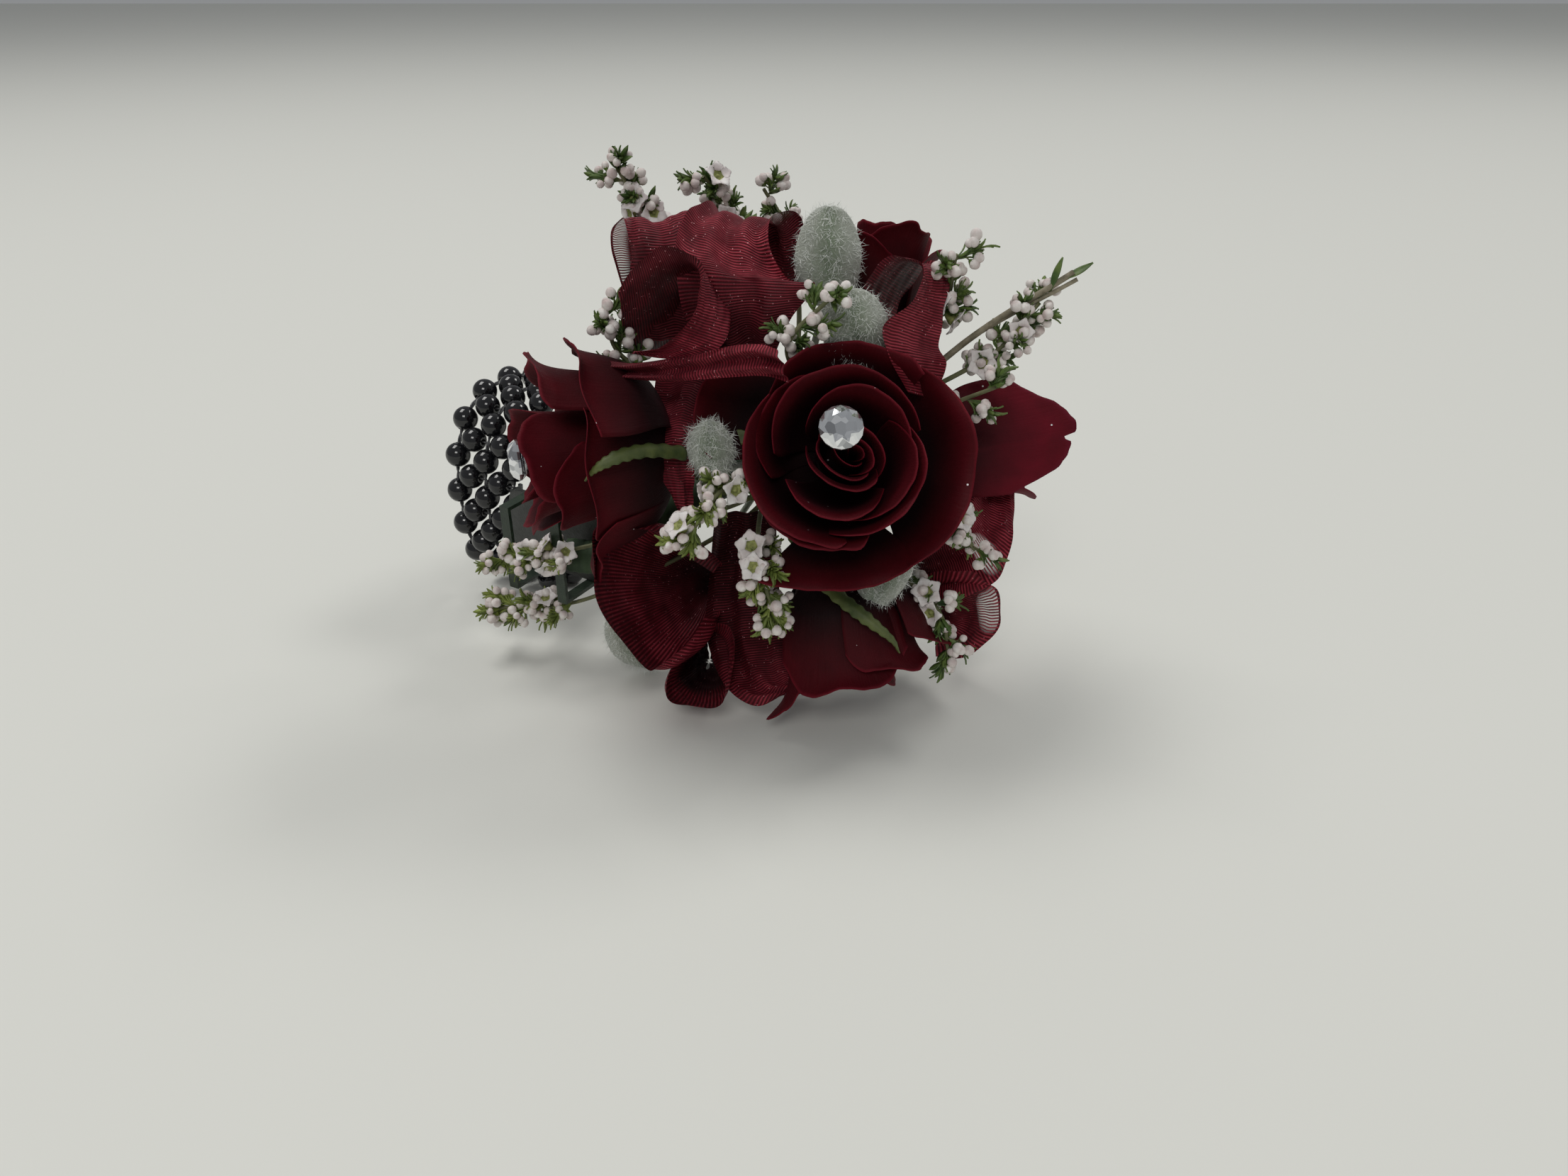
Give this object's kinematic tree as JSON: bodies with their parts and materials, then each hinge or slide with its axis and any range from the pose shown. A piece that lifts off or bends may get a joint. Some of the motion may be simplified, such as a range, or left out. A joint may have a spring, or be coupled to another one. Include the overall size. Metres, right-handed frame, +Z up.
{
  "type": "wrist corsage",
  "caption": "Wrist corsage of deep red roses, sheer ribbon loops, soft grey leaves and white bell sprigs, tied to a clip plate on a stretch band of woven round beads, with rhinestone pins.",
  "frame": {"origin": "middle of the bounding box's base, where the corsage stands on the table with its bead band on edge", "axes": "+Z up; -Y towards the viewer who sees the front rose; the bead band is at -X, its wrist passage along (0.866, -0.5, 0)"},
  "size_m": [0.1684, 0.1316, 0.1315],
  "materials": {
    "bead": "high-gloss black bead",
    "clip": "smooth moulded plate",
    "tape": "waxed floral tape",
    "wire": "coated tie wire",
    "gem": "faceted, foil backed",
    "stem": "matt fresh green",
    "petal": "velvety petal",
    "petal_bright": "velvety petal",
    "ribbon": "sheer woven ribbon with fine sparkle",
    "felt_leaf": "felted with fine white hairs",
    "sprig": "waxy buds on green stems",
    "twig": "dry cut twig"
  },
  "bodies": {
    "spray": {"band_front": "bead", "clip_plate": "clip", "stem_bundle": "tape", "tie_upper": "wire", "tie_lower": "wire", "front_rose_calyx": "stem", "front_rose_heart": "petal", "front_rose_guard_petals": "petal", "left_rose_calyx": "stem", "left_rose_heart": "petal", "left_rose_guard_petals": "petal", "bottom_rose_calyx": "stem", "bottom_rose_heart": "petal", "bottom_rose_guard_petals": "petal", "top_rose_calyx": "stem", "top_rose_heart": "petal", "top_rose_guard_petals": "petal", "right_rose_calyx": "stem", "right_rose_heart": "petal", "right_rose_guard_petals": "petal_bright", "ribbon_coil": "ribbon", "ribbon_tail": "ribbon", "ribbon_loop_top": "ribbon", "ribbon_loop_top_left": "ribbon", "ribbon_loop_top_right": "ribbon", "ribbon_loop_left": "ribbon", "ribbon_strip": "ribbon", "ribbon_loop_bottom": "ribbon", "ribbon_fold": "ribbon", "ribbon_loop_right": "ribbon", "ribbon_loop_right_low": "ribbon", "ribbon_loop_rear": "ribbon", "leaf_top": "felt_leaf", "leaf_middle": "felt_leaf", "leaf_left": "felt_leaf", "leaf_low_left": "felt_leaf", "leaf_low_right": "felt_leaf", "sprig_top_left": "sprig", "sprig_top": "sprig", "sprig_top_right": "sprig", "sprig_left_upper": "sprig", "sprig_middle": "sprig", "sprig_right_upper": "sprig", "sprig_right": "sprig", "sprig_right_middle": "sprig", "sprig_right_low": "sprig", "sprig_front_left": "sprig", "sprig_front_low": "sprig", "sprig_low_left_upper": "sprig", "sprig_low_left": "sprig", "sprig_low_right": "sprig", "cut_twig": "twig"},
    "top_length": {"band_top": "bead"},
    "back_length": {"band_back": "bead"},
    "bottom_length": {"band_bottom": "bead"},
    "front_gem": {"front_pin": "gem"},
    "left_gem": {"left_pin": "gem"}
  },
  "joints": [
    {"name": "band_stretch_top", "type": "slide", "parent": "spray", "child": "top_length", "axis": [0.3315, 0.5742, 0.7486], "range_m": [0, 0.0045], "stiffness_N_per_m": 400},
    {"name": "band_stretch_back", "type": "slide", "parent": "top_length", "child": "back_length", "axis": [0.2243, 0.3886, -0.8937], "range_m": [0, 0.0045]},
    {"name": "band_stretch_bottom", "type": "slide", "parent": "back_length", "child": "bottom_length", "axis": [-0.3315, -0.5742, -0.7486], "range_m": [0, 0.0045]},
    {"name": "front_pin_pull", "type": "slide", "parent": "spray", "child": "front_gem", "axis": [0.02, -0.7998, 0.5999], "range_m": [0, 0.034]},
    {"name": "left_pin_pull", "type": "slide", "parent": "spray", "child": "left_gem", "axis": [-0.9527, -0.304, 0], "range_m": [0, 0.034]}
  ],
  "couplings": [
    {"joint": "band_stretch_back", "follows": "band_stretch_top", "ratio": 1},
    {"joint": "band_stretch_bottom", "follows": "band_stretch_top", "ratio": 1}
  ]
}
